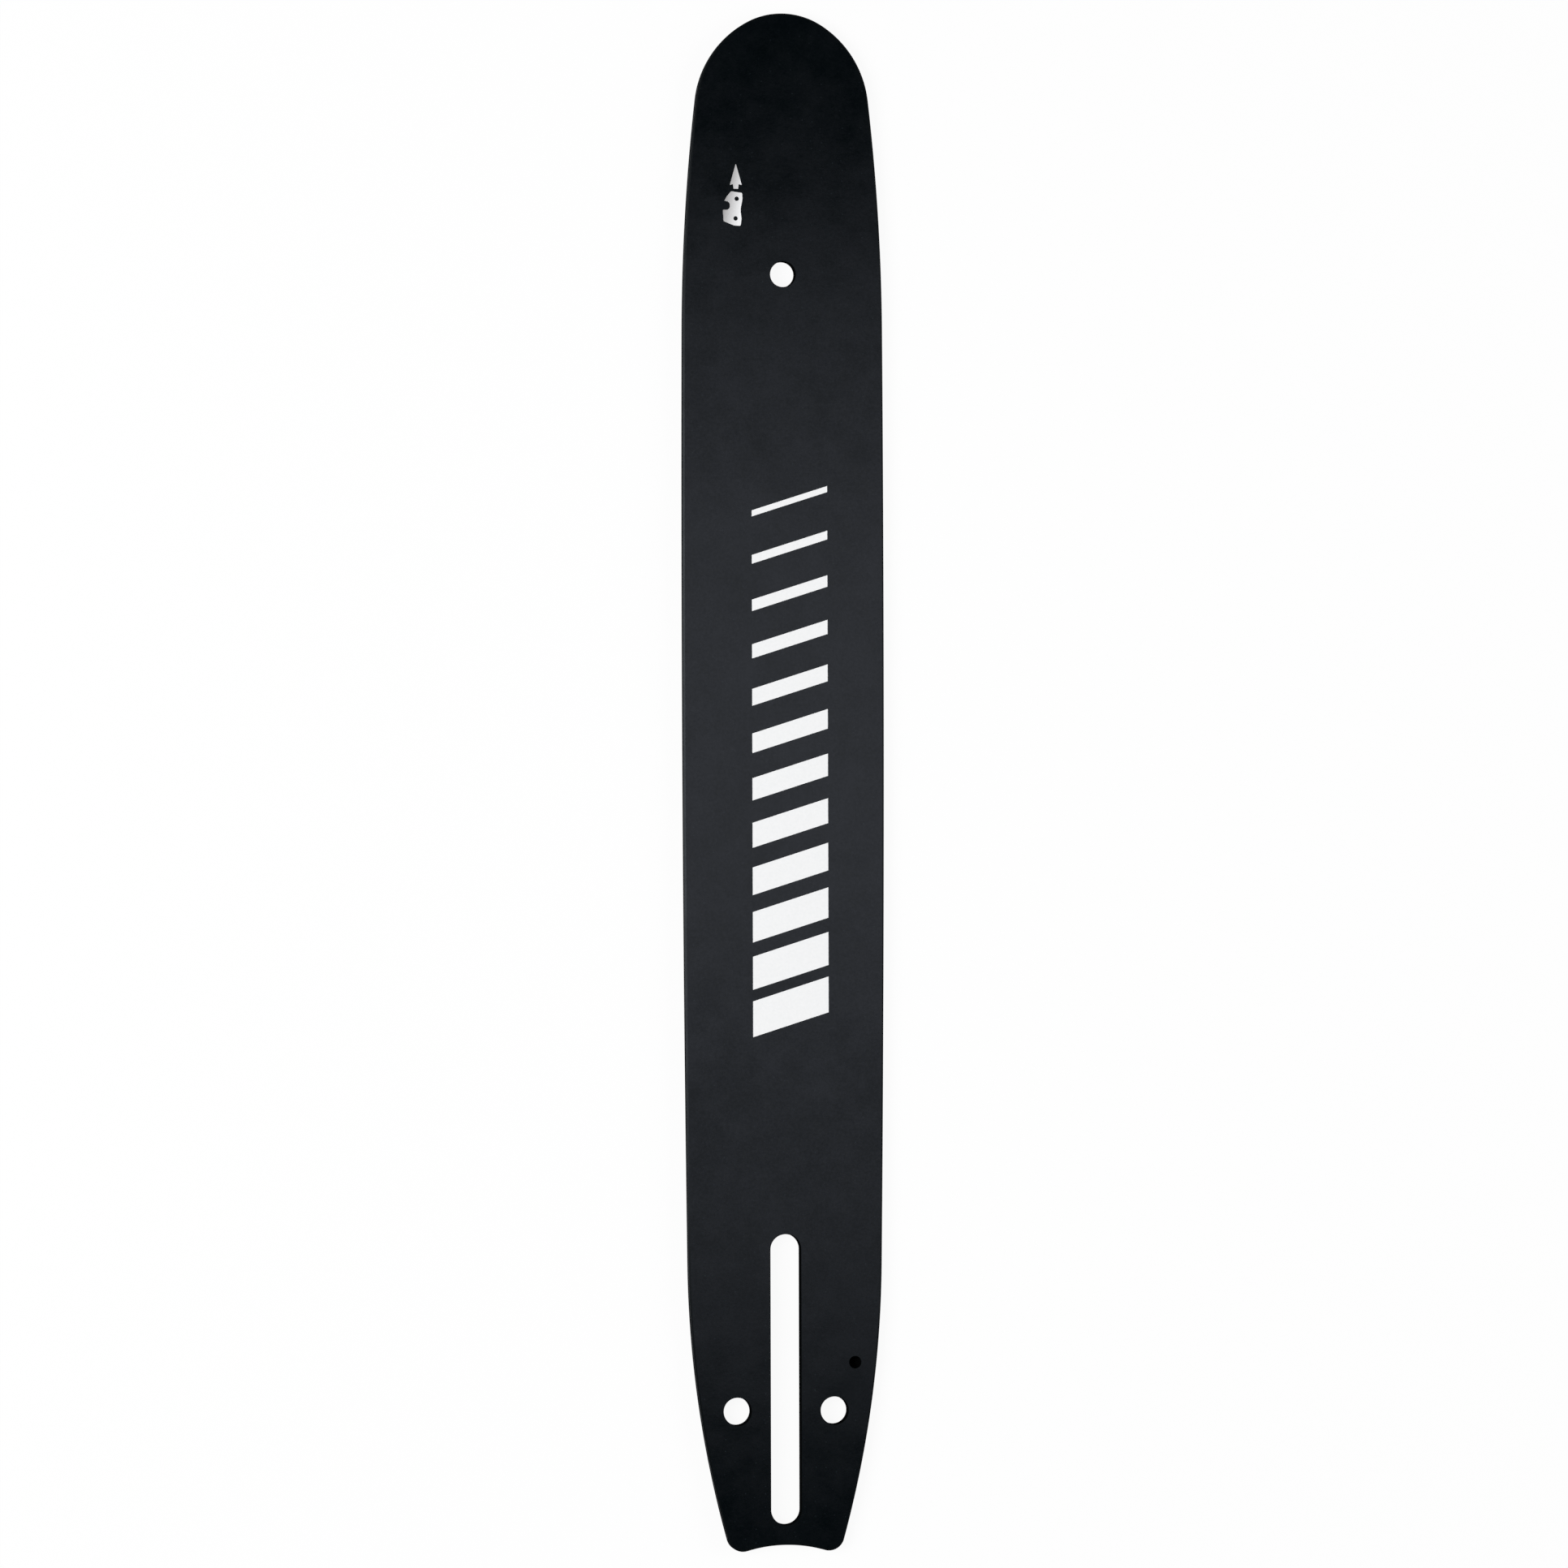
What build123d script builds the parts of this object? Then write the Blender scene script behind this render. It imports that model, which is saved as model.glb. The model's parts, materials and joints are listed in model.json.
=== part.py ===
from build123d import *
import math
import os

# Chainsaw guide bar: one flat steel bar that carries the chain in a groove round its rim.
# It lies on its face: +Z runs up through the thickness, +Y to the nose, +X to the right.
# The origin is on the lower face, midway along the bar and across it. Sizes are in millimetres.

# Plate
LENGTH = 455.0  # nose tip to tail end
WIDTH = 60.0  # across the widest place
THICKNESS = 4.2
RIM_BREAK = 0.5  # bevel along the rim of both faces
OPENING_BREAK = 0.2  # bevel along the slot and hole edges of both faces

# Outline: each half is a run of arcs, every one tangent to the next
NOSE_TIP_RADIUS = 22.0
NOSE_TIP_HALF_ANGLE = 32.0  # degrees from the centre line to the end of the tip arc
NOSE_NARROWING = 4.12  # how far each flank of the nose stands in from the full width
CHEEK_RADIUS = 627.0  # between the nose and the long side
SIDE_RADIUS = 16300.0  # the slight belly of the long side
WIDEST_FROM_TIP = 178.0
TAIL_FLANK_RADIUS = 318.5
TAIL_CORNER_RADIUS = 4.6
TAIL_CORNER_SPACING = 25.75  # between the centres of the two tail corners
TAIL_NOTCH_DEPTH = 1.85  # the hollow end between the tail corners

# Chain groove
CHAIN_GAUGE = 1.3  # thickness of the drive links that run in it
GROOVE_PLAY = 0.05  # between a drive link and each rail
GROOVE_DEPTH = 6.0
LEAD_IN_WIDTH = 2.6  # the groove flares to this at the tail, where the chain enters
LEAD_IN_LENGTH = 16.0

# Tail mount
SLOT_WIDTH = 9.0  # for the saw's bar studs
SLOT_LENGTH = 86.0
SLOT_FROM_TAIL = 7.8  # end of the slot to the tail end
TENSION_HOLE_DIAMETER = 8.2  # for the pin of the chain tensioner
TENSION_HOLE_SPACING = 29.0
TENSION_HOLES_FROM_TAIL = 41.5

# Hanging hole behind the nose
HANGING_HOLE_DIAMETER = 7.5
HANGING_HOLE_FROM_TIP = 77.2

# Oil holes: one drilled from each face, over the floor of the groove
OIL_HOLE_DIAMETER = 3.7
OIL_HOLE_FROM_TAIL = 55.7
OIL_HOLE_PAST_GROOVE = 0.4  # centre of the hole, inwards from the groove's floor
DRILL_POINT_ANGLE = 118.0

CUT_OVERRUN = 5.0  # how far a cutting shape reaches past the bar

# Worked out from the sizes above
groove_width = CHAIN_GAUGE + 2 * GROOVE_PLAY
tip_y = LENGTH / 2
tail_y = -LENGTH / 2
mid_z = THICKNESS / 2
nose_half_width = WIDTH / 2 - NOSE_NARROWING
nose_sine = math.sin(math.radians(NOSE_TIP_HALF_ANGLE))
nose_cosine = math.cos(math.radians(NOSE_TIP_HALF_ANGLE))
flank_radius = (nose_half_width - NOSE_TIP_RADIUS * nose_sine) / (1 - nose_sine)


def blend_centre(inner_centre, inner_radius, radius):
    """Centre of an arc that is tangent to a smaller arc and to the long side, on the way to the side."""
    to_inner = radius - inner_radius
    to_side = SIDE_RADIUS - radius
    line = side_centre - inner_centre
    along = (to_inner**2 - to_side**2 + line.length**2) / (2 * line.length)
    across = math.sqrt(to_inner**2 - along**2)
    foot = inner_centre + line.normalized() * along
    square = Vector(-line.Y, line.X).normalized() * across
    return min(foot + square, foot - square, key=lambda point: abs(point.Y - side_centre.Y))


# Centres of the right half's arcs, from the nose to the tail
tip_centre = Vector(0, tip_y - NOSE_TIP_RADIUS)
tip_end_direction = Vector(nose_sine, nose_cosine)
flank_centre = tip_centre + tip_end_direction * (NOSE_TIP_RADIUS - flank_radius)
side_centre = Vector(WIDTH / 2 - SIDE_RADIUS, tip_y - WIDEST_FROM_TIP)
cheek_centre = blend_centre(flank_centre, flank_radius, CHEEK_RADIUS)
corner_centre = Vector(TAIL_CORNER_SPACING / 2, tail_y + TAIL_CORNER_RADIUS)
tail_centre = blend_centre(corner_centre, TAIL_CORNER_RADIUS, TAIL_FLANK_RADIUS)

# The notch arc passes through its depth on the centre line and runs on from both tail corners
corner_rise = TAIL_CORNER_RADIUS - TAIL_NOTCH_DEPTH
notch_radius = (corner_centre.X**2 + corner_rise**2 - TAIL_CORNER_RADIUS**2) / (2 * TAIL_NOTCH_DEPTH)
notch_centre = Vector(0, tail_y + TAIL_NOTCH_DEPTH - notch_radius)


def toward(start, goal, distance):
    """The point at a distance from start, in the direction of goal."""
    return start + (goal - start).normalized() * distance


def arc(centre, start, end):
    """The shorter arc about a centre from start to end."""
    middle = toward(centre, (start + end) / 2, (start - centre).length)
    return ThreePointArc(start, middle, end)


def tail_flank_point(inset, y):
    """The point of the tail flank at a height y, moved in from the rim by inset."""
    reach = math.sqrt((TAIL_FLANK_RADIUS - inset) ** 2 - (y - tail_centre.Y) ** 2)
    return Vector(tail_centre.X + reach, y)


def rim_arcs(inset, tail_end):
    """Arcs of the right half, moved in from the rim by inset, from the nose tip down the tail flank."""
    tip = Vector(0, tip_y - inset)
    tip_end = tip_centre + tip_end_direction * (NOSE_TIP_RADIUS - inset)
    flank_end = toward(cheek_centre, flank_centre, CHEEK_RADIUS - inset)
    cheek_end = toward(side_centre, cheek_centre, SIDE_RADIUS - inset)
    side_end = toward(side_centre, tail_centre, SIDE_RADIUS - inset)
    return [
        arc(tip_centre, tip, tip_end),
        arc(flank_centre, tip_end, flank_end),
        arc(cheek_centre, flank_end, cheek_end),
        arc(side_centre, cheek_end, side_end),
        arc(tail_centre, side_end, tail_end),
    ]


def both_halves(right_half):
    """The edges of the right half and their mirror images."""
    return right_half + [edge.mirror(Plane.YZ) for edge in right_half]


def outline():
    """The whole outline of the bar, as a face on the ground plane."""
    corner_start = toward(tail_centre, corner_centre, TAIL_FLANK_RADIUS)
    corner_end = toward(corner_centre, notch_centre, TAIL_CORNER_RADIUS)
    notch_top = Vector(0, tail_y + TAIL_NOTCH_DEPTH)
    right_half = rim_arcs(0, corner_start)
    right_half.append(arc(corner_centre, corner_start, corner_end))
    right_half.append(arc(notch_centre, corner_end, notch_top))
    return make_face(both_halves(right_half))


def openings():
    """The stud slot, the two tensioner holes and the hanging hole, as faces on the ground plane."""
    slot_y = tail_y + SLOT_FROM_TAIL + SLOT_LENGTH / 2
    slot = Pos(0, slot_y) * SlotOverall(SLOT_LENGTH, SLOT_WIDTH, rotation=90)
    hanging_hole = Pos(0, tip_y - HANGING_HOLE_FROM_TIP) * Circle(HANGING_HOLE_DIAMETER / 2)
    tension_row = Pos(0, tail_y + TENSION_HOLES_FROM_TAIL) * GridLocations(TENSION_HOLE_SPACING, 0, 2, 1)
    tension_holes = tension_row * Circle(TENSION_HOLE_DIAMETER / 2)
    return slot + hanging_hole + tension_holes


def plate():
    """The bar before its groove is cut, with the edges of both faces broken."""
    blank = extrude(outline(), THICKNESS)
    blank = chamfer(blank.faces().filter_by(Axis.Z).edges(), RIM_BREAK)
    pierced = blank - extrude(openings(), THICKNESS)
    faces = pierced.faces().filter_by(Axis.Z)
    opening_edges = [edge for face in faces for edge in face.inner_wires().edges()]
    return chamfer(opening_edges, OPENING_BREAK)


def chain_groove():
    """The groove to cut: a slit round the rim that flares at the tail and runs out through it."""
    # Plan: all that lies outside the floor of the groove, which runs on past the tail
    run_out = tail_flank_point(GROOVE_DEPTH, tail_y - CUT_OVERRUN)
    floor_half = rim_arcs(GROOVE_DEPTH, run_out)
    floor_half.append(Line(run_out, Vector(0, run_out.Y)))
    surround = Rectangle(WIDTH + 2 * CUT_OVERRUN, LENGTH + 2 * CUT_OVERRUN)
    rim_zone = extrude(surround - make_face(both_halves(floor_half)), THICKNESS)

    # Side view: the slit between the rails, with its lead-in at the tail
    upper_rail = [
        (tip_y + CUT_OVERRUN, groove_width / 2),
        (tail_y + LEAD_IN_LENGTH, groove_width / 2),
        (tail_y, LEAD_IN_WIDTH / 2),
        (tail_y - CUT_OVERRUN, LEAD_IN_WIDTH / 2),
    ]
    lower_rail = [(y, -rise) for y, rise in reversed(upper_rail)]
    side_view = make_face(Polyline(upper_rail + lower_rail, close=True))
    slit = extrude(Plane.YZ * Pos(0, mid_z) * side_view, WIDTH, both=True)
    return slit & rim_zone


def oil_hole():
    """The oil hole to cut from the upper face, down to the middle of the groove and a drill point below."""
    place = tail_flank_point(GROOVE_DEPTH + OIL_HOLE_PAST_GROOVE, tail_y + OIL_HOLE_FROM_TAIL)
    radius = OIL_HOLE_DIAMETER / 2
    point_depth = radius / math.tan(math.radians(DRILL_POINT_ANGLE / 2))
    drill = [
        (0, mid_z - point_depth),
        (radius, mid_z),
        (radius, THICKNESS + CUT_OVERRUN),
        (0, THICKNESS + CUT_OVERRUN),
    ]
    half_section = make_face(Plane.XZ * Polyline(drill, close=True))
    return Pos(place.X, place.Y) * revolve(half_section, Axis.Z)


def turned_over(shape):
    """The shape as it lies when the bar is turned over about its length."""
    return shape.rotate(Axis((0, 0, mid_z), (0, 1, 0)), 180)


guide_bar = plate() - chain_groove() - oil_hole() - turned_over(oil_hole())

os.makedirs("parts", exist_ok=True)
export_step(guide_bar, "parts/guide_bar.step")
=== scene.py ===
import cmath
import json
import math

import bmesh
import bpy
from mathutils import Matrix, Vector


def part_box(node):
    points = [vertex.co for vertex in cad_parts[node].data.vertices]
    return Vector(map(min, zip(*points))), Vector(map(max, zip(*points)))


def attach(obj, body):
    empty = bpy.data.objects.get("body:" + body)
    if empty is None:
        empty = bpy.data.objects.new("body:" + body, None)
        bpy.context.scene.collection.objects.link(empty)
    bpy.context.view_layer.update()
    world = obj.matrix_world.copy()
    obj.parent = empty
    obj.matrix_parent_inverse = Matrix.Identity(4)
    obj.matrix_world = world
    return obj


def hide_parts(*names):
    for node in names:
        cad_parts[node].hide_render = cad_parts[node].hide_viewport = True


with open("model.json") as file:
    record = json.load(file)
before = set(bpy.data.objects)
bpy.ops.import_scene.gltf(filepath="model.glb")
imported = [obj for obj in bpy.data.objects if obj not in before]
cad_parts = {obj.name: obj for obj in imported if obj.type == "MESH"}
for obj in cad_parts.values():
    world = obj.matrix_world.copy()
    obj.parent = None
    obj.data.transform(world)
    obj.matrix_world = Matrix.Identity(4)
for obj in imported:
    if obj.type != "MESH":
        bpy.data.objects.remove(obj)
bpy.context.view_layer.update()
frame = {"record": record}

# Chainsaw guide bar, lying on its face. The frame is in metres: +Y runs to the nose, +X to the right, +Z up
MM = 0.001

# The bar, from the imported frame. Its mesh has facets and its tip falls short, so the tail sets both ends
bar_low, bar_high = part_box("guide_bar")
tail_y = bar_low.y
tip_y = -tail_y
face_z = bar_high.z
mid_z = face_z / 2
bar_length = tip_y - tail_y
mounts = {mount["name"]: mount for mount in frame["record"]["mounts"]}

# Outline: each half is a run of arcs, every one tangent to the next
BAR_WIDTH = 60.0 * MM
NOSE_TIP_RADIUS = 22.0 * MM
NOSE_TIP_HALF_ANGLE = math.radians(32.0)
NOSE_NARROWING = 4.12 * MM
CHEEK_RADIUS = 627.0 * MM
SIDE_RADIUS = 16300.0 * MM
WIDEST_FROM_TIP = 178.0 * MM
TAIL_FLANK_RADIUS = 318.5 * MM
TAIL_CORNER_RADIUS = 4.6 * MM
TAIL_CORNER_SPACING = 25.75 * MM
TAIL_NOTCH_DEPTH = 1.85 * MM
RIM_BREAK = 0.5 * MM
OPENING_BREAK = 0.2 * MM

# Chain groove and oil holes
GROOVE_WIDTH = 1.4 * MM
GROOVE_DEPTH = 6.0 * MM
LEAD_IN_WIDTH = 2.6 * MM
LEAD_IN_LENGTH = 16.0 * MM
OIL_HOLE_RADIUS = 1.85 * MM
OIL_HOLE_FROM_TAIL = 55.7 * MM
OIL_HOLE_PAST_GROOVE = 0.4 * MM
DRILL_POINT_ANGLE = math.radians(118.0)
CUT_OVERRUN = 3.0 * MM

# Print on the upper face: stripes that narrow towards the nose, and a mark for the way the chain runs
INK_RISE = 0.03 * MM
INK_SUNK = 0.02 * MM
STRIPE_COUNT = 12
STRIPE_START = (1.8 * MM, -67.0 * MM)
STRIPE_PITCH = 13.6 * MM
STRIPE_WIDTH = 22.6 * MM
STRIPE_WIDEST = 10.6 * MM
STRIPE_NARROWEST = 1.8 * MM
STRIPE_SLANT = 0.32
MARK_PLACE = (-14.9 + 169.7j) * MM

# Outlines of the mark in mm, about the middle of its link: corners, each with the radius of its rounding
ARROW_AXIS = 0.95
ARROW_HALF = ((13.3j, 0.08), (1.8 + 6.9j, 0.08), (0.85 + 7.2j, 0.15), (0.7 + 5.8j, 0.15))
LINK = (
    (2.85 + 4.6j, 0.4), (2.9 + 2.6j, 1.5), (2.3 - 0.4j, 6.0), (2.65 - 3.1j, 1.5),
    (2.35 - 5.15j, 0.4), (0.4 - 5.05j, 1.5), (-2.75 - 3.8j, 0.5), (-2.95 - 0.4j, 0.2),
    (-0.85 - 0.45j, 1.05), (-0.85 + 1.9j, 1.05), (-2.5 + 2.25j, 0.15), (-1.8 + 3.5j, 2.0),
    (-0.5 + 5.05j, 0.5),
)
LINK_RIVETS = (1.2 + 2.85j, 0.85 - 2.95j)
RIVET_RADIUS = 0.65

# How finely curves are drawn, and from what angle on an edge is sharp
FINE_TURN = math.radians(2.0)
LONGEST_STEP = 2.5 * MM
SHORTEST_STEP = 0.06 * MM
SHARP_ANGLE = math.radians(20.0)

# Camera: a long lens above the bar, a little to its left, set by where the bar lies in the photograph
PHOTO_PX = 1932
BAR_TOP_PX = 17.3
BAR_BOTTOM_PX = 1910.8
BAR_CENTRE_PX = (965.0, 964.05)
VIEW_YAW = math.radians(8.5)
VIEW_ROLL = math.radians(0.17)
LENS_MM = 200.0
SENSOR_MM = 36.0
FAR_CLIP = 100.0

# Surround: dim, and dark overhead. The angles are measured from straight up
SURROUND = 0.28
SURROUND_TOP = 0.0032
DARK_WITHIN = math.radians(35.0)
FULL_BEYOND = math.radians(62.0)

# Lights: two softboxes, and two dim cards that the enamel reflects. A size is across the bar, then along it
SOFTBOX_SIZE = 900 * MM
KEY_PLACE = (-1.15, 0.0, 1.19)
KEY_RADIANCE = 9.5
FILL_PLACE = (1.5, 0.0, 0.8)
FILL_RADIANCE = 5.6
CARD_PLACE = (90 * MM, -10 * MM, 600 * MM)
CARD_SIZE = (300 * MM, 418 * MM)
CARD_RADIANCE = 0.43
CARD_MIDDLE_PLACE = (88 * MM, 15 * MM, 585 * MM)
CARD_MIDDLE_SIZE = (300 * MM, 190 * MM)
CARD_MIDDLE_RADIANCE = 0.32
CARD_TINT = "#eef2ff"

# Floor: a hair below the bar, and white as far as the reach from it
FLOOR_SIZE = 60.0
FLOOR_DROP = 0.02 * MM
FLOOR_GLOW = 0.93
FLOOR_WHITE_REACH = 1.5

# Finishes: slots of the bar's own mesh, as make_bar fills them. The first, the enamel, is on both faces
EDGE, STEEL, HOLE = 1, 2, 3


def colour(code):
    """An sRGB hex colour as linear red, green, blue and alpha."""
    channels = [int(code[i:i + 2], 16) / 255 for i in (1, 3, 5)]
    return tuple(c / 12.92 if c <= 0.04045 else ((c + 0.055) / 1.055) ** 2.4 for c in channels) + (1.0,)


def node(tree, kind, inputs=None, **settings):
    """A new node with its settings, and its inputs set to values or linked to other nodes' outputs."""
    made = tree.nodes.new(kind)
    for name, value in settings.items():
        setattr(made, name, value)
    for socket, value in (inputs or {}).items():
        if isinstance(value, bpy.types.NodeSocket):
            tree.links.new(value, made.inputs[socket])
        else:
            made.inputs[socket].default_value = value
    return made


def new_material(name):
    """An empty node material and its tree."""
    material = bpy.data.materials.new(name)
    material.use_nodes = True
    material.node_tree.nodes.clear()
    return material, material.node_tree


def satin_black_enamel():
    """Baked black enamel sprayed over rolled steel.

    To the eye it is a cool near-black with a broad satin glow. The glow is cloudy, where the coat is thicker
    or thinner and the steel below not quite flat. Fine orange peel and specks of dust break it, and a
    mottled grey sheen is painted into its colour along the middle, thinning to the ends.
    """
    material, tree = new_material("satin_black_enamel")
    place = node(tree, "ShaderNodeTexCoord").outputs["Object"]

    # Clouds, with smaller ones in them, make the gloss uneven
    cloud_size = 12.0 * MM
    clouds = node(tree, "ShaderNodeTexNoise", {
        "Vector": place, "Scale": 1 / cloud_size, "Detail": 6.0, "Roughness": 0.75,
    })
    gloss = node(tree, "ShaderNodeMapRange", {
        "Value": clouds.outputs["Fac"], "From Min": 0.3, "From Max": 0.7, "To Min": 0.17, "To Max": 0.23,
    })

    # Painted sheen: a grey painted into the colour, cloudy with a fine grain, full along the middle and
    # thinning out to the ends, as the glow of the overhead light does
    grain_size = 0.8 * MM
    sheen_full_within = 90.0 * MM
    sheen_thin_beyond = 225.0 * MM
    grain = node(tree, "ShaderNodeTexNoise", {
        "Vector": place, "Scale": 1 / grain_size, "Detail": 5.0, "Roughness": 0.7,
    })
    patches = node(tree, "ShaderNodeTexNoise", {
        "Vector": place, "Scale": 1 / cloud_size, "Detail": 5.0, "Roughness": 0.75,
    })
    blend = node(tree, "ShaderNodeMath", {0: grain.outputs["Fac"], 1: patches.outputs["Fac"]},
                 operation="ADD")
    uneven = node(tree, "ShaderNodeMapRange", {"Value": blend.outputs[0], "From Min": 0.8, "From Max": 1.2})
    along = node(tree, "ShaderNodeSeparateXYZ", {"Vector": place}).outputs["Y"]
    from_middle = node(tree, "ShaderNodeMath", {0: along}, operation="ABSOLUTE")
    thickness = node(tree, "ShaderNodeMapRange", {
        "Value": from_middle.outputs[0],
        "From Min": sheen_full_within,
        "From Max": sheen_thin_beyond,
        "To Min": 1.0,
        "To Max": 0.2,
    }, interpolation_type="SMOOTHSTEP")
    painted_sheen = node(tree, "ShaderNodeMath", {0: uneven.outputs["Result"], 1: thickness.outputs["Result"]},
                operation="MULTIPLY")
    # The painted sheen lifts the black towards grey in the colour itself
    sheened_colour = node(tree, "ShaderNodeMix", {
        "Factor": painted_sheen.outputs[0], "A": colour("#000406"), "B": colour("#14171b"),
    }, data_type="RGBA")

    # Lighter specks of dust lie in it, each up to a seventh of their spacing across
    dust_spacing = 3.0 * MM
    dust = node(tree, "ShaderNodeTexVoronoi", {"Vector": place, "Scale": 1 / dust_spacing},
                voronoi_dimensions="2D")
    speck = node(tree, "ShaderNodeMapRange", {
        "Value": dust.outputs["Distance"], "From Min": 0.03, "From Max": 0.07, "To Min": 1.0, "To Max": 0.0,
    })
    chance = node(tree, "ShaderNodeSeparateColor", {"Color": dust.outputs["Color"]})
    shows = node(tree, "ShaderNodeMapRange", {"Value": chance.outputs[0], "From Min": 0.5, "From Max": 1.0})
    seen = node(tree, "ShaderNodeMath", {0: speck.outputs["Result"], 1: shows.outputs["Result"]},
                operation="MULTIPLY")
    specked = node(tree, "ShaderNodeMix", {
        "Factor": seen.outputs[0], "A": sheened_colour.outputs["Result"], "B": colour("#1c2227"),
    }, data_type="RGBA")

    # Orange peel, drawn twice as coarse as it is so that it shows, lies over the waves of the rolled steel
    peel_size = 1.2 * MM
    peel_height = 0.008 * MM
    wave_size = 14.0 * MM
    wave_height = 0.12 * MM
    peel = node(tree, "ShaderNodeTexNoise", {"Vector": place, "Scale": 1 / peel_size, "Detail": 2.0})
    waves = node(tree, "ShaderNodeTexNoise", {"Vector": place, "Scale": 1 / wave_size, "Detail": 1.0})
    wavy = node(tree, "ShaderNodeBump", {"Height": waves.outputs["Fac"], "Distance": wave_height})
    peeled = node(tree, "ShaderNodeBump", {
        "Height": peel.outputs["Fac"], "Distance": peel_height, "Normal": wavy.outputs["Normal"],
    })
    shader = node(tree, "ShaderNodeBsdfPrincipled", {
        "Base Color": specked.outputs["Result"],
        "Roughness": gloss.outputs["Result"],
        "Normal": peeled.outputs["Normal"],
    })
    node(tree, "ShaderNodeOutputMaterial", {"Surface": shader.outputs["BSDF"]})
    return material


def black_edge_painted_highlight():
    """Enamel on the bevel of the rim, with a painted highlight.

    To the eye it is a dull black line, with a grey highlight painted into it along the middle of the left
    side, where the key light from the left would catch the bevel.
    """
    material, tree = new_material("black_edge_painted_highlight")
    place = node(tree, "ShaderNodeTexCoord").outputs["Object"]
    spot = node(tree, "ShaderNodeSeparateXYZ", {"Vector": place})

    # The painted highlight is strongest a little ahead of the bar's middle and fades out towards the ends
    highlight_middle = 20.0 * MM
    highlight_full_within = 20.0 * MM
    highlight_ends_at = 215.0 * MM
    offset = node(tree, "ShaderNodeMath", {0: spot.outputs["Y"], 1: highlight_middle}, operation="SUBTRACT")
    from_middle = node(tree, "ShaderNodeMath", {0: offset.outputs[0]}, operation="ABSOLUTE")
    painted_highlight_along = node(tree, "ShaderNodeMapRange", {
        "Value": from_middle.outputs[0],
        "From Min": highlight_full_within,
        "From Max": highlight_ends_at,
        "To Min": 1.0,
        "To Max": 0.0,
    }, interpolation_type="SMOOTHSTEP")

    # The painted highlight is patchy, and the right side, away from the key light, has little of it
    patch_size = 5.0 * MM
    left_side = -20.0 * MM
    uneven = node(tree, "ShaderNodeTexNoise", {"Vector": place, "Scale": 1 / patch_size, "Detail": 3.0})
    patchy = node(tree, "ShaderNodeMapRange", {
        "Value": uneven.outputs["Fac"], "To Min": 0.6, "To Max": 1.4,
    })
    patchy_highlight = node(tree, "ShaderNodeMath", {0: painted_highlight_along.outputs["Result"], 1: patchy.outputs["Result"]},
                operation="MULTIPLY")
    left = node(tree, "ShaderNodeMapRange", {
        "Value": spot.outputs["X"], "From Min": left_side, "From Max": 0.0, "To Min": 1.0, "To Max": 0.2,
    })
    share = node(tree, "ShaderNodeMath", {0: patchy_highlight.outputs[0], 1: left.outputs["Result"]},
                 operation="MULTIPLY", use_clamp=True)
    # Painted highlight: the grey lies in the colour of the bevel, not in the light
    shade = node(tree, "ShaderNodeMix", {
        "Factor": share.outputs[0], "A": colour("#070a0c"), "B": colour("#3a3d40"),
    }, data_type="RGBA")
    shader = node(tree, "ShaderNodeBsdfPrincipled", {
        "Base Color": shade.outputs["Result"],
        "Roughness": 0.6,
        "Specular IOR Level": 0.02,
    })
    node(tree, "ShaderNodeOutputMaterial", {"Surface": shader.outputs["BSDF"]})
    return material


def blackened_milled_steel():
    """Milled steel under a thin black oxide: a dull dark grey on the rails, with the cutter's grain.

    The cutter ran along the rim, so the grain is fine across the thickness of the bar.
    """
    material, tree = new_material("blackened_milled_steel")
    place = node(tree, "ShaderNodeTexCoord").outputs["Object"]
    grain_length = 3.0 * MM
    finer_across = 12.0
    grain_height = 0.02 * MM
    drawn = node(tree, "ShaderNodeMapping", {"Vector": place, "Scale": (1.0, 1.0, finer_across)})
    grain = node(tree, "ShaderNodeTexNoise", {
        "Vector": drawn.outputs["Vector"], "Scale": 1 / grain_length, "Detail": 3.0,
    })
    shade = node(tree, "ShaderNodeMix", {
        "Factor": grain.outputs["Fac"], "A": colour("#1c1e20"), "B": colour("#303335"),
    }, data_type="RGBA")
    bump = node(tree, "ShaderNodeBump", {
        "Height": grain.outputs["Fac"], "Strength": 0.2, "Distance": grain_height,
    })
    shader = node(tree, "ShaderNodeBsdfPrincipled", {
        "Base Color": shade.outputs["Result"],
        "Roughness": 0.85,
        "Specular IOR Level": 0.1,
        "Normal": bump.outputs["Normal"],
    })
    node(tree, "ShaderNodeOutputMaterial", {"Surface": shader.outputs["BSDF"]})
    return material


def dull_black_spray():
    """Spray that drifted into the slot, the holes and the groove and dried dull: a black without shine.

    Its grain is drawn coarser than it is, so that it shows.
    """
    material, tree = new_material("dull_black_spray")
    place = node(tree, "ShaderNodeTexCoord").outputs["Object"]
    drift_size = 1.0 * MM
    drift_height = 0.01 * MM
    drift = node(tree, "ShaderNodeTexNoise", {"Vector": place, "Scale": 1 / drift_size, "Detail": 2.0})
    shade = node(tree, "ShaderNodeMix", {
        "Factor": drift.outputs["Fac"], "A": colour("#040505"), "B": colour("#0c0d0e"),
    }, data_type="RGBA")
    bump = node(tree, "ShaderNodeBump", {"Height": drift.outputs["Fac"], "Distance": drift_height})
    shader = node(tree, "ShaderNodeBsdfPrincipled", {
        "Base Color": shade.outputs["Result"],
        "Roughness": 0.95,
        "Specular IOR Level": 0.0,
        "Normal": bump.outputs["Normal"],
    })
    node(tree, "ShaderNodeOutputMaterial", {"Surface": shader.outputs["BSDF"]})
    return material


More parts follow.
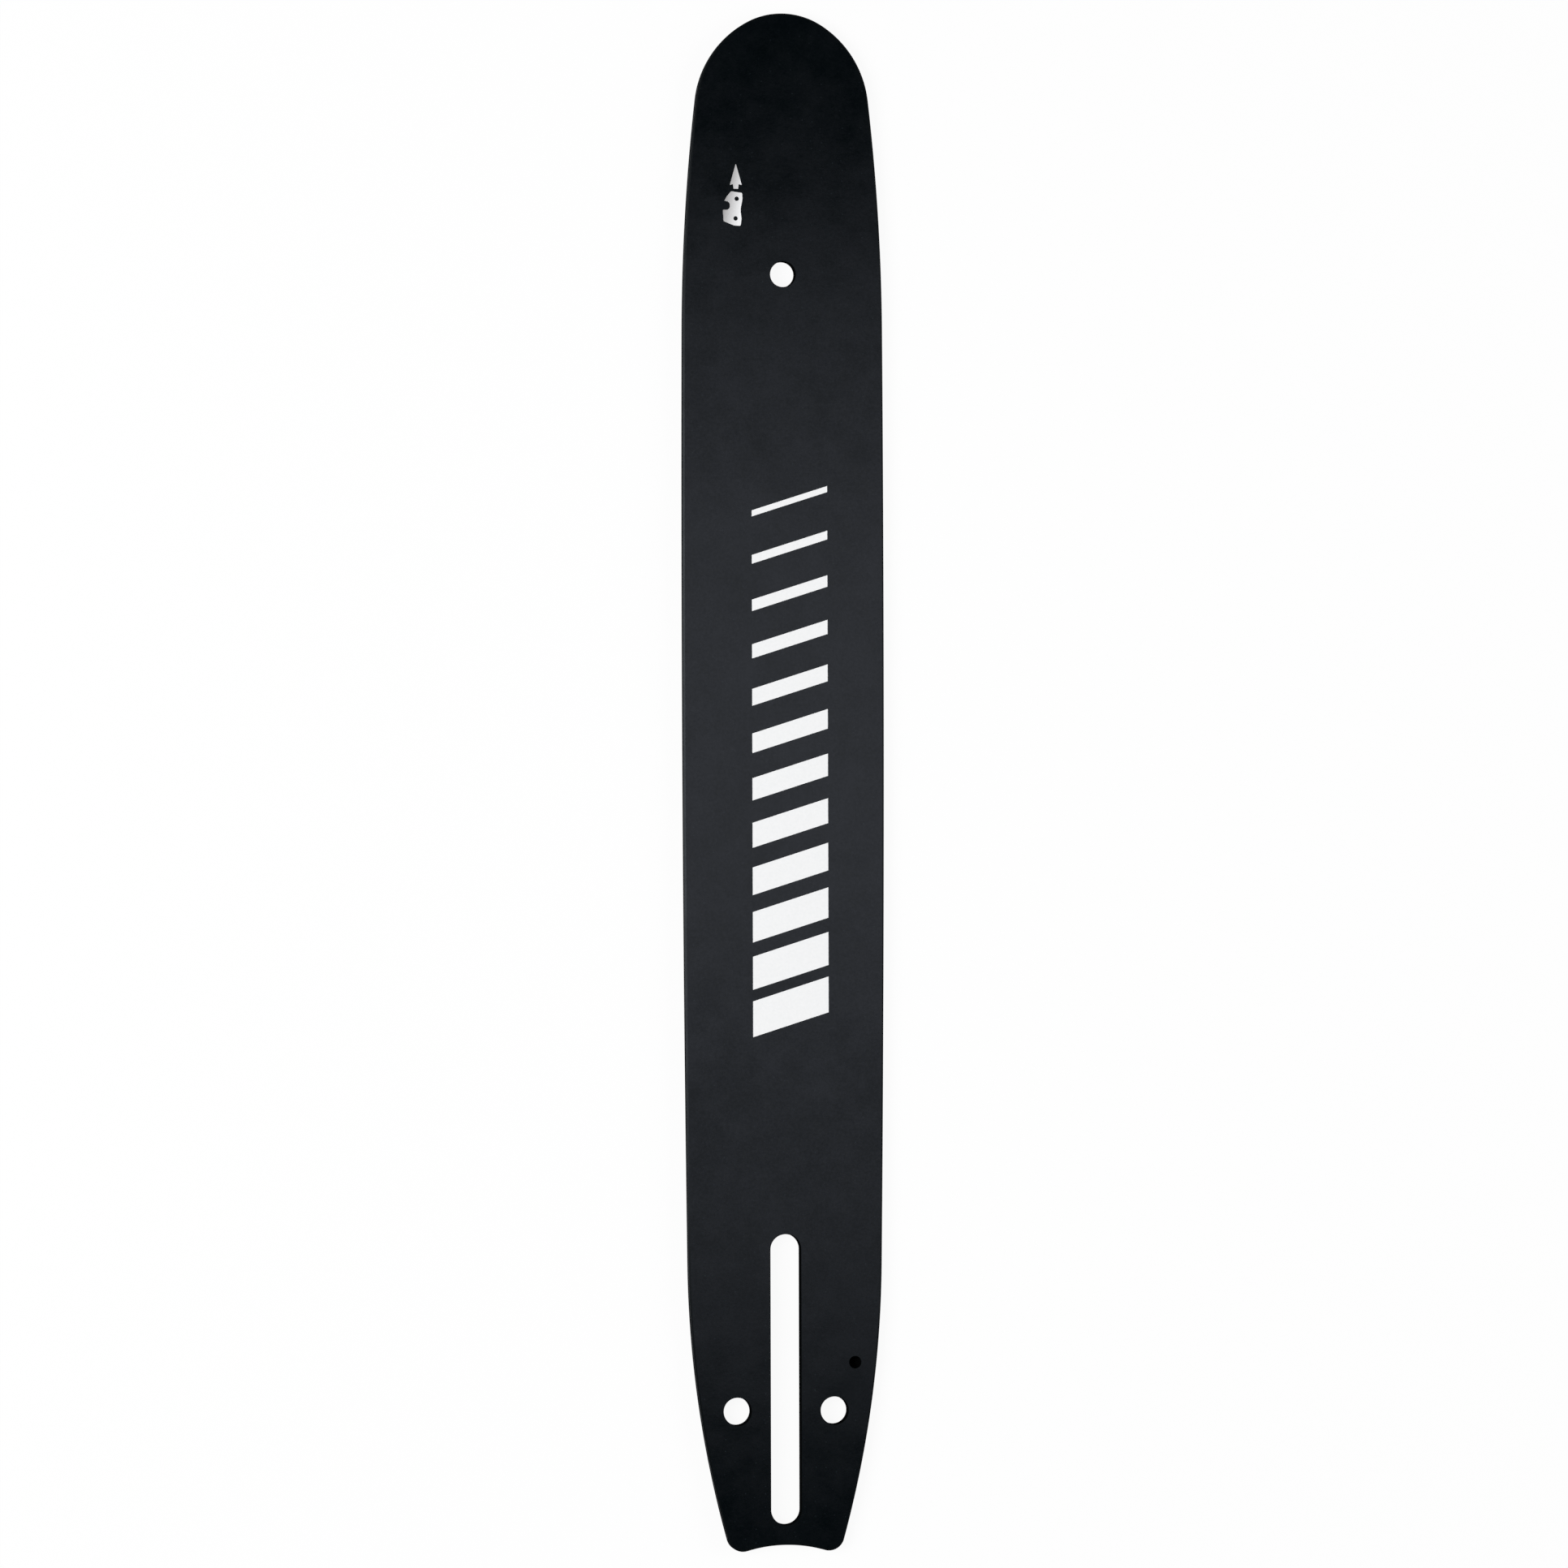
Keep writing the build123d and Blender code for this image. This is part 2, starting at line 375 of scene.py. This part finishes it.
def white_screen_ink():
    """Screen-printed white ink: an opaque soft white, less glossy than the enamel.

    The screen leaves a faint grain in it, drawn coarser than it is so that it shows.
    """
    material, tree = new_material("white_screen_ink")
    place = node(tree, "ShaderNodeTexCoord").outputs["Object"]
    grain_size = 0.8 * MM
    grain_height = 0.004 * MM
    grain = node(tree, "ShaderNodeTexNoise", {"Vector": place, "Scale": 1 / grain_size, "Detail": 2.0})
    shade = node(tree, "ShaderNodeMix", {
        "Factor": grain.outputs["Fac"], "A": colour("#f3f4f4"), "B": colour("#fdfdfd"),
    }, data_type="RGBA")
    bump = node(tree, "ShaderNodeBump", {"Height": grain.outputs["Fac"], "Distance": grain_height})
    shader = node(tree, "ShaderNodeBsdfPrincipled", {
        "Base Color": shade.outputs["Result"],
        "Roughness": 0.5,
        "Normal": bump.outputs["Normal"],
    })
    node(tree, "ShaderNodeOutputMaterial", {"Surface": shader.outputs["BSDF"]})
    return material


def silver_screen_ink():
    """Screen-printed silver ink: fine flakes in a grey, with a painted sheen that makes it lighter towards
    one side.

    The flakes are drawn coarser than they are, so that they show.
    """
    material, tree = new_material("silver_screen_ink")
    place = node(tree, "ShaderNodeTexCoord").outputs["Object"]
    sheen_way = (1.0, -0.2, 0.0)
    darkest_at = -2.8 * MM
    lightest_at = 2.6 * MM
    flake_size = 0.4 * MM
    flake_height = 0.006 * MM
    # Painted sheen: a reflection of the light painted into the ink, dark grey on one side to near white on
    # the other
    about_mark = node(tree, "ShaderNodeVectorMath", {
        0: place, 1: (MARK_PLACE.real, MARK_PLACE.imag, face_z),
    }, operation="SUBTRACT")
    spread = node(tree, "ShaderNodeVectorMath", {
        0: about_mark.outputs["Vector"], 1: sheen_way,
    }, operation="DOT_PRODUCT")
    painted_sheen_share = node(tree, "ShaderNodeMapRange", {
        "Value": spread.outputs["Value"], "From Min": darkest_at, "From Max": lightest_at,
    })
    ink = node(tree, "ShaderNodeMix", {
        "Factor": painted_sheen_share.outputs["Result"], "A": colour("#9a9898"), "B": colour("#f8f8f9"),
    }, data_type="RGBA")
    flakes = node(tree, "ShaderNodeTexNoise", {"Vector": place, "Scale": 1 / flake_size, "Detail": 2.0})
    shade = node(tree, "ShaderNodeMix", {
        "Factor": flakes.outputs["Fac"], "A": ink.outputs["Result"], "B": colour("#d6d6d6"),
    }, data_type="RGBA", blend_type="SOFT_LIGHT")
    bump = node(tree, "ShaderNodeBump", {"Height": flakes.outputs["Fac"], "Distance": flake_height})
    shader = node(tree, "ShaderNodeBsdfPrincipled", {
        "Base Color": shade.outputs["Result"],
        "Roughness": 0.45,
        "Normal": bump.outputs["Normal"],
    })
    node(tree, "ShaderNodeOutputMaterial", {"Surface": shader.outputs["BSDF"]})
    return material


def studio_white():
    """The pale floor: matt white that also glows for the camera, so that it reads as white paper.

    Far off the glow fades to the level of the surround, so that no hard horizon shows from low down.
    """
    material, tree = new_material("studio_white")
    place = node(tree, "ShaderNodeTexCoord").outputs["Object"]
    away = node(tree, "ShaderNodeVectorMath", {0: place}, operation="LENGTH")
    nearness = node(tree, "ShaderNodeMath", {0: 1.0, 1: away.outputs["Value"]}, operation="DIVIDE")
    level = node(tree, "ShaderNodeMapRange", {
        "Value": nearness.outputs[0],
        "From Min": 2 / FLOOR_SIZE,
        "From Max": 1 / FLOOR_WHITE_REACH,
        "To Min": SURROUND,
        "To Max": 1.0,
    }, interpolation_type="SMOOTHSTEP")
    rays = node(tree, "ShaderNodeLightPath").outputs
    looks = node(tree, "ShaderNodeMath", {0: rays["Is Camera Ray"], 1: rays["Is Glossy Ray"]},
                 operation="ADD")
    seen = node(tree, "ShaderNodeMath", {0: looks.outputs[0], 1: rays["Is Transmission Ray"]},
                operation="ADD", use_clamp=True)
    share = node(tree, "ShaderNodeMath", {0: seen.outputs[0], 1: FLOOR_GLOW}, operation="MULTIPLY")
    matt = node(tree, "ShaderNodeBsdfDiffuse", {"Color": colour("#f8f8f8")})
    glow = node(tree, "ShaderNodeEmission", {
        "Color": colour("#ffffff"), "Strength": level.outputs["Result"],
    })
    mixed = node(tree, "ShaderNodeMixShader", {
        0: share.outputs[0],
        1: matt.outputs[0],
        2: glow.outputs[0],
    })
    node(tree, "ShaderNodeOutputMaterial", {"Surface": mixed.outputs[0]})
    return material


def unit(step):
    """A plane direction of length 1."""
    return step / abs(step)


def blend_centre(inner_centre, inner_radius, radius):
    """Centre of an arc that is tangent to a smaller arc and to the long side, on the way to the side."""
    to_inner = radius - inner_radius
    to_side = SIDE_RADIUS - radius
    line = side_centre - inner_centre
    along = (to_inner**2 - to_side**2 + abs(line)**2) / (2 * abs(line))
    across = math.sqrt(to_inner**2 - along**2)
    foot = inner_centre + unit(line) * along
    square = unit(line) * 1j * across
    return min(foot + square, foot - square, key=lambda point: abs(point.imag - side_centre.imag))


# Centres of the right half's arcs, from nose to tail. A point of the plan is a complex number, x + iy
nose_half_width = BAR_WIDTH / 2 - NOSE_NARROWING
nose_sine = math.sin(NOSE_TIP_HALF_ANGLE)
flank_radius = (nose_half_width - NOSE_TIP_RADIUS * nose_sine) / (1 - nose_sine)
tip_end_direction = complex(nose_sine, math.cos(NOSE_TIP_HALF_ANGLE))
tip_centre = complex(0, tip_y - NOSE_TIP_RADIUS)
flank_centre = tip_centre + tip_end_direction * (NOSE_TIP_RADIUS - flank_radius)
side_centre = complex(BAR_WIDTH / 2 - SIDE_RADIUS, tip_y - WIDEST_FROM_TIP)
cheek_centre = blend_centre(flank_centre, flank_radius, CHEEK_RADIUS)
corner_centre = complex(TAIL_CORNER_SPACING / 2, tail_y + TAIL_CORNER_RADIUS)
tail_centre = blend_centre(corner_centre, TAIL_CORNER_RADIUS, TAIL_FLANK_RADIUS)
corner_rise = TAIL_CORNER_RADIUS - TAIL_NOTCH_DEPTH
notch_radius = (corner_centre.real**2 + corner_rise**2 - TAIL_CORNER_RADIUS**2) / (2 * TAIL_NOTCH_DEPTH)
notch_top = complex(0, tail_y + TAIL_NOTCH_DEPTH)
notch_centre = notch_top - 1j * notch_radius


def toward(start, goal, distance):
    """The point at a distance from start, in the direction of goal."""
    return start + unit(goal - start) * distance


def arc(centre, start, end, out=1):
    """Points of the shorter arc about a centre, without its end, each with the way out of the metal."""
    spoke = start - centre
    turn = cmath.phase((end - centre) / spoke)
    length = abs(turn) * abs(spoke)
    steps = math.ceil(max(length / LONGEST_STEP, min(abs(turn) / FINE_TURN, length / SHORTEST_STEP)))
    spokes = [spoke * cmath.rect(1, turn * step / steps) for step in range(steps)]
    return [(centre + spoke, unit(spoke) * out) for spoke in spokes]


def tail_flank_point(inset, y):
    """The point of the tail flank at a height y, moved in from the rim by inset."""
    reach = math.sqrt((TAIL_FLANK_RADIUS - inset)**2 - (y - tail_centre.imag)**2)
    return complex(tail_centre.real + reach, y)


def right_rim(tail_end):
    """The right half of the rim, from the nose tip down the tail flank."""
    tip_end = tip_centre + tip_end_direction * NOSE_TIP_RADIUS
    flank_end = toward(cheek_centre, flank_centre, CHEEK_RADIUS)
    cheek_end = toward(side_centre, cheek_centre, SIDE_RADIUS)
    side_end = toward(side_centre, tail_centre, SIDE_RADIUS)
    return (
        arc(tip_centre, complex(0, tip_y), tip_end)
        + arc(flank_centre, tip_end, flank_end)
        + arc(cheek_centre, flank_end, cheek_end)
        + arc(side_centre, cheek_end, side_end)
        + arc(tail_centre, side_end, tail_end)
    )


def mirrored(points):
    """The left half for a right half, in the opposite order."""
    return [(-point.conjugate(), -out.conjugate()) for point, out in reversed(points)]


def rim_outline():
    """The whole rim, once round."""
    corner_start = toward(tail_centre, corner_centre, TAIL_FLANK_RADIUS)
    corner_end = toward(corner_centre, notch_centre, TAIL_CORNER_RADIUS)
    right_half = right_rim(corner_start)
    right_half += arc(corner_centre, corner_start, corner_end)
    right_half += arc(notch_centre, corner_end, notch_top, out=-1)
    right_half.append((notch_top, -1j))
    return right_half + mirrored(right_half[1:-1])


def round_hole(centre, radius):
    """The rim of a round hole."""
    points = []
    for start, end in ((1, 1j), (1j, -1), (-1, -1j), (-1j, 1)):
        points += arc(centre, centre + start * radius, centre + end * radius, out=-1)
    return points


def opening_outlines():
    """The rims of the stud slot, the tensioner holes and the hanging hole, from the mounts in the record."""
    outlines = []
    for name in ("tension_hole_left", "tension_hole_right", "hanging_hole"):
        centre = complex(*mounts[name]["pos_m"][:2])
        outlines.append(round_hole(centre, mounts[name]["dims"]["r_mm"] * MM))
    # The slot is a round hole whose halves are drawn apart
    slot = mounts["stud_slot"]
    radius = slot["dims"]["hole_r_mm"] * MM
    reach = 1j * (slot["dims"]["slot_length_mm"] * MM / 2 - radius)
    ends = round_hole(complex(*slot["pos_m"][:2]), radius)
    outlines.append([(point + math.copysign(1, -out.imag) * reach, out) for point, out in ends])
    return outlines


def ring(mesh, outline, inset, z):
    """Vertices along an outline, moved into the metal by inset, at a height z."""
    places = [point - out * inset for point, out in outline]
    return [mesh.verts.new((place.real, place.imag, z)) for place in places]


def wall(mesh, outline, levels, finishes):
    """The wall along an outline, through its levels from the top down; gives its top and bottom rings."""
    rings = [ring(mesh, outline, inset, z) for inset, z in levels]
    for upper, lower, finish in zip(rings, rings[1:], finishes):
        for i in range(len(upper)):
            mesh.faces.new((upper[i - 1], upper[i], lower[i], lower[i - 1])).material_index = finish
    return rings[0], rings[-1]


def close_faces(mesh, walls):
    """The flat upper and lower faces between walls, which makes them a solid."""
    for rings in zip(*walls):
        edges = [mesh.edges.get((loop[i - 1], loop[i])) for loop in rings for i in range(len(loop))]
        bmesh.ops.triangle_fill(mesh, edges=edges, use_beauty=True)
    bmesh.ops.recalc_face_normals(mesh, faces=mesh.faces)


def bevelled_wall(mesh, outline, edge_break, bevel, side):
    """The wall of the plate along an outline, with a bevel at both faces, in their finishes."""
    levels = ((edge_break, face_z), (0, face_z - edge_break), (0, edge_break), (edge_break, 0))
    return wall(mesh, outline, levels, (bevel, side, bevel))


def bar_blank():
    """The bar before its groove is cut."""
    mesh = bmesh.new()
    walls = [bevelled_wall(mesh, rim_outline(), RIM_BREAK, EDGE, STEEL)]
    walls += [bevelled_wall(mesh, outline, OPENING_BREAK, HOLE, HOLE) for outline in opening_outlines()]
    close_faces(mesh, walls)
    return mesh


def groove_cutter():
    """What the chain groove takes away: a slit round the rim that flares at the tail and runs out there."""
    run_out = tail_flank_point(0, tail_y - CUT_OVERRUN)
    right_half = right_rim(run_out) + [(run_out, unit(run_out - tail_centre))]
    path = mirrored(right_half[1:]) + right_half
    # Stations lie midway between points of the rim, so that no edge of the cut meets an upright edge there
    midway = [((one + two) / 2, unit(out + out_two)) for (one, out), (two, out_two) in zip(path, path[1:])]
    mesh = bmesh.new()
    stations = []
    for point, out in path[:1] + midway + path[-1:]:
        into_lead = min(1, max(0, (tail_y + LEAD_IN_LENGTH - point.imag) / LEAD_IN_LENGTH))
        half = (GROOVE_WIDTH + (LEAD_IN_WIDTH - GROOVE_WIDTH) * into_lead) / 2
        floor = point - out * GROOVE_DEPTH
        past = point + out * CUT_OVERRUN
        corners = ((floor, half), (past, half), (past, -half), (floor, -half))
        stations.append([mesh.verts.new((at.real, at.imag, mid_z + rise)) for at, rise in corners])
    for first, second in zip(stations, stations[1:]):
        for i in range(len(first)):
            mesh.faces.new((first[i - 1], first[i], second[i], second[i - 1]))
    mesh.faces.new(stations[0])
    mesh.faces.new(stations[-1])
    bmesh.ops.recalc_face_normals(mesh, faces=mesh.faces)
    return mesh


def oil_hole_cutter():
    """What the two drills take away: one from each face, down to the middle of the groove."""
    centre = tail_flank_point(GROOVE_DEPTH + OIL_HOLE_PAST_GROOVE, tail_y + OIL_HOLE_FROM_TAIL)
    point_depth = OIL_HOLE_RADIUS / math.tan(DRILL_POINT_ANGLE / 2)
    rim = round_hole(centre, OIL_HOLE_RADIUS)
    mesh = bmesh.new()
    for side in (1, -1):
        turned = [(complex(point.real * side, point.imag), out) for point, out in rim]
        top = ring(mesh, turned, 0, mid_z + side * (mid_z + CUT_OVERRUN))
        bottom = ring(mesh, turned, 0, mid_z)
        point = mesh.verts.new((centre.real * side, centre.imag, mid_z - side * point_depth))
        mesh.faces.new(top)
        for i in range(len(top)):
            mesh.faces.new((top[i - 1], top[i], bottom[i], bottom[i - 1]))
            mesh.faces.new((bottom[i - 1], bottom[i], point))
    bmesh.ops.recalc_face_normals(mesh, faces=mesh.faces)
    return mesh


def new_object(name, mesh, materials):
    """A mesh object from bmesh data, with its material slots."""
    data = bpy.data.meshes.new(name)
    mesh.to_mesh(data)
    mesh.free()
    for material in materials:
        data.materials.append(material)
    made = bpy.data.objects.new(name, data)
    bpy.context.scene.collection.objects.link(made)
    return made


def plain_mesh(worked, name):
    """The finished mesh of an object with modifiers, as an object of its own; the worked one is removed."""
    graph = bpy.context.evaluated_depsgraph_get()
    data = bpy.data.meshes.new_from_object(worked.evaluated_get(graph), depsgraph=graph)
    data.name = name
    bpy.data.objects.remove(worked)
    made = bpy.data.objects.new(name, data)
    bpy.context.scene.collection.objects.link(made)
    return made


def make_bar():
    """The bar with its groove and oil holes cut, finely drawn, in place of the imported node's mesh."""
    finishes = (satin_black_enamel(), black_edge_painted_highlight(), blackened_milled_steel(), dull_black_spray())
    blank = new_object("bar_blank", bar_blank(), finishes)
    cutters = []
    for name, mesh in (("groove_cutter", groove_cutter()), ("oil_hole_cutter", oil_hole_cutter())):
        for face in mesh.faces:
            face.material_index = HOLE
        cutter = new_object(name, mesh, finishes)
        cut = blank.modifiers.new(name, "BOOLEAN")
        cut.operation = "DIFFERENCE"
        cut.solver = "EXACT"
        cut.object = cutter
        cutters.append(cutter)
    bar = plain_mesh(blank, "bar")
    for cutter in cutters:
        bpy.data.objects.remove(cutter)
    bar.data.shade_smooth()
    bar.data.set_sharp_from_angle(angle=SHARP_ANGLE)
    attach(bar, "root")
    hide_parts("guide_bar")


def rounded(corners):
    """The outline through corner points in mm, each rounded to its radius, placed on the face of the bar.

    Ink has no bevel, so the end of a rounding needs no way out of the metal.
    """
    outline = []
    for i, (corner, radius) in enumerate(corners):
        back = unit(corners[i - 1][0] - corner)
        onward = unit(corners[(i + 1) % len(corners)][0] - corner)
        half_angle = abs(cmath.phase(onward / back)) / 2
        reach = radius / math.tan(half_angle)
        centre = MARK_PLACE + (corner + unit(back + onward) * radius / math.sin(half_angle)) * MM
        start = MARK_PLACE + (corner + back * reach) * MM
        end = MARK_PLACE + (corner + onward * reach) * MM
        outline += arc(centre, start, end) + [(end, 0)]
    return outline


def mark_outlines():
    """The rims of an arrow and of a cutter link with two rivet holes."""
    right = [(point + ARROW_AXIS, radius) for point, radius in ARROW_HALF]
    left = [(ARROW_AXIS - point.conjugate(), radius) for point, radius in ARROW_HALF[:0:-1]]
    rivets = [round_hole(MARK_PLACE + centre * MM, RIVET_RADIUS * MM) for centre in LINK_RIVETS]
    return [rounded(right + left), rounded(LINK)] + rivets


def make_direction_mark():
    """The mark that shows which way the chain runs."""
    levels = ((0, face_z + INK_RISE), (0, face_z - INK_SUNK))
    mesh = bmesh.new()
    walls = [wall(mesh, outline, levels, (0,)) for outline in mark_outlines()]
    close_faces(mesh, walls)
    mark = new_object("direction_mark", mesh, [silver_screen_ink()])
    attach(mark, "root")


def stripe_tree(ink):
    """Geometry nodes for a row of slanted stripes, each narrower than the one before."""
    tree = bpy.data.node_groups.new("graded_stripes", "GeometryNodeTree")
    tree.interface.new_socket("Start", in_out="INPUT", socket_type="NodeSocketVector")
    tree.interface.new_socket("Count", in_out="INPUT", socket_type="NodeSocketInt")
    for name in ("Pitch", "Width", "Widest", "Narrowest", "Slant", "Thickness"):
        tree.interface.new_socket(name, in_out="INPUT", socket_type="NodeSocketFloat")
    tree.interface.new_socket("Geometry", in_out="OUTPUT", socket_type="NodeSocketGeometry")
    sizes = node(tree, "NodeGroupInput").outputs

    step = node(tree, "ShaderNodeCombineXYZ", {"Y": sizes["Pitch"]})
    row = node(tree, "GeometryNodeMeshLine", {
        "Count": sizes["Count"], "Start Location": sizes["Start"], "Offset": step.outputs["Vector"],
    })
    last = node(tree, "ShaderNodeMath", {0: sizes["Count"], 1: 1.0}, operation="SUBTRACT")
    graded = node(tree, "ShaderNodeMapRange", {
        "Value": node(tree, "GeometryNodeInputIndex").outputs["Index"],
        "From Max": last.outputs[0],
        "To Min": sizes["Widest"],
        "To Max": sizes["Narrowest"],
    })
    size = node(tree, "ShaderNodeCombineXYZ", {
        "X": sizes["Width"], "Y": graded.outputs["Result"], "Z": sizes["Thickness"],
    })
    placed = node(tree, "GeometryNodeInstanceOnPoints", {
        "Points": row.outputs["Mesh"],
        "Instance": node(tree, "GeometryNodeMeshCube").outputs["Mesh"],
        "Scale": size.outputs["Vector"],
    })
    real = node(tree, "GeometryNodeRealizeInstances", {"Geometry": placed.outputs["Instances"]})
    position = node(tree, "GeometryNodeInputPosition").outputs["Position"]
    spot = node(tree, "ShaderNodeSeparateXYZ", {"Vector": position})
    lean = node(tree, "ShaderNodeMath", {0: spot.outputs["X"], 1: sizes["Slant"]}, operation="MULTIPLY")
    offset = node(tree, "ShaderNodeCombineXYZ", {"Y": lean.outputs[0]})
    slanted = node(tree, "GeometryNodeSetPosition", {
        "Geometry": real.outputs["Geometry"], "Offset": offset.outputs["Vector"],
    })
    inked = node(tree, "GeometryNodeSetMaterial", {
        "Geometry": slanted.outputs["Geometry"], "Material": ink,
    })
    node(tree, "NodeGroupOutput", {"Geometry": inked.outputs["Geometry"]})
    return tree


def make_stripes():
    """The printed stripes along the middle of the upper face."""
    tree = stripe_tree(white_screen_ink())
    sizes = {
        "Start": (*STRIPE_START, face_z + (INK_RISE - INK_SUNK) / 2),
        "Count": STRIPE_COUNT,
        "Pitch": STRIPE_PITCH,
        "Width": STRIPE_WIDTH,
        "Widest": STRIPE_WIDEST,
        "Narrowest": STRIPE_NARROWEST,
        "Slant": STRIPE_SLANT,
        "Thickness": INK_RISE + INK_SUNK,
    }
    worked = new_object("stripe_row", bmesh.new(), [])
    stripes = worked.modifiers.new("graded_stripes", "NODES")
    stripes.node_group = tree
    for socket in tree.interface.items_tree:
        if socket.in_out == "INPUT":
            stripes[socket.identifier] = sizes[socket.name]
    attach(plain_mesh(worked, "printed_stripes"), "root")


def make_floor():
    """The floor that the bar lies on."""
    half = FLOOR_SIZE / 2
    mesh = bpy.data.meshes.new("floor")
    corners = [(-half, -half, 0), (half, -half, 0), (half, half, 0), (-half, half, 0)]
    mesh.from_pydata(corners, [], [(0, 1, 2, 3)])
    mesh.materials.append(studio_white())
    floor = bpy.data.objects.new("floor", mesh)
    bpy.context.scene.collection.objects.link(floor)
    floor.location.z = -FLOOR_DROP


def make_surround():
    """The dim surround as the world, dark overhead, so that the face of the bar stays black."""
    world = bpy.data.worlds.new("surround")
    bpy.context.scene.world = world
    world.use_nodes = True
    tree = world.node_tree
    tree.nodes.clear()
    way = node(tree, "ShaderNodeTexCoord").outputs["Generated"]
    up = node(tree, "ShaderNodeSeparateXYZ", {"Vector": way}).outputs["Z"]
    level = node(tree, "ShaderNodeMapRange", {
        "Value": up,
        "From Min": math.cos(FULL_BEYOND),
        "From Max": math.cos(DARK_WITHIN),
        "To Min": SURROUND,
        "To Max": SURROUND_TOP,
    }, interpolation_type="SMOOTHSTEP")
    sky = node(tree, "ShaderNodeBackground", {
        "Color": colour("#ffffff"), "Strength": level.outputs["Result"],
    })
    node(tree, "ShaderNodeOutputWorld", {"Surface": sky.outputs["Background"]})


def make_panel(name, place, size, radiance, tint="#ffffff"):
    """A flat light of an even radiance, turned to the middle of the bar and unseen by the camera."""
    lamp = bpy.data.lights.new(name, "AREA")
    lamp.shape = "RECTANGLE"
    lamp.size, lamp.size_y = size
    lamp.energy = radiance * math.pi * size[0] * size[1]
    lamp.color = colour(tint)[:3]
    panel = bpy.data.objects.new(name, lamp)
    bpy.context.scene.collection.objects.link(panel)
    away = Vector(place).normalized()
    across = Vector((0, 1, 0)).cross(away).normalized()
    axes = Matrix((across, away.cross(across), away)).transposed()
    panel.matrix_world = Matrix.Translation(place) @ axes.to_4x4()
    panel.visible_camera = False


def make_camera():
    """The camera, so that the bar lies in the frame as it does in the photograph."""
    scale = bar_length / (BAR_BOTTOM_PX - BAR_TOP_PX)
    back = Vector((-math.sin(VIEW_YAW), 0, math.cos(VIEW_YAW)))
    right = Vector((math.cos(VIEW_YAW), 0, math.sin(VIEW_YAW)))
    up = Vector((0, 1, 0))
    aside = (PHOTO_PX / 2 - BAR_CENTRE_PX[0]) * scale
    below = (PHOTO_PX / 2 - BAR_CENTRE_PX[1]) * scale
    target = (bar_low + bar_high) / 2 + right * aside - up * below
    distance = PHOTO_PX * scale * LENS_MM / SENSOR_MM
    rolled_right = right * math.cos(VIEW_ROLL) - up * math.sin(VIEW_ROLL)
    rolled_up = up * math.cos(VIEW_ROLL) + right * math.sin(VIEW_ROLL)

    data = bpy.data.cameras.new("camera")
    data.lens = LENS_MM
    data.sensor_width = SENSOR_MM
    data.clip_end = FAR_CLIP
    camera = bpy.data.objects.new("camera", data)
    bpy.context.scene.collection.objects.link(camera)
    axes = Matrix((rolled_right, rolled_up, back)).transposed()
    camera.matrix_world = Matrix.Translation(target + back * distance) @ axes.to_4x4()
    bpy.context.scene.camera = camera


make_bar()
make_direction_mark()
make_stripes()
make_floor()
make_surround()
make_panel("key_softbox", KEY_PLACE, (SOFTBOX_SIZE, SOFTBOX_SIZE), KEY_RADIANCE)
make_panel("fill_softbox", FILL_PLACE, (SOFTBOX_SIZE, SOFTBOX_SIZE), FILL_RADIANCE)
make_panel("overhead_card", CARD_PLACE, CARD_SIZE, CARD_RADIANCE, CARD_TINT)
make_panel("overhead_card_middle", CARD_MIDDLE_PLACE, CARD_MIDDLE_SIZE, CARD_MIDDLE_RADIANCE, CARD_TINT)
make_camera()
bpy.context.scene.view_settings.view_transform = "Standard"
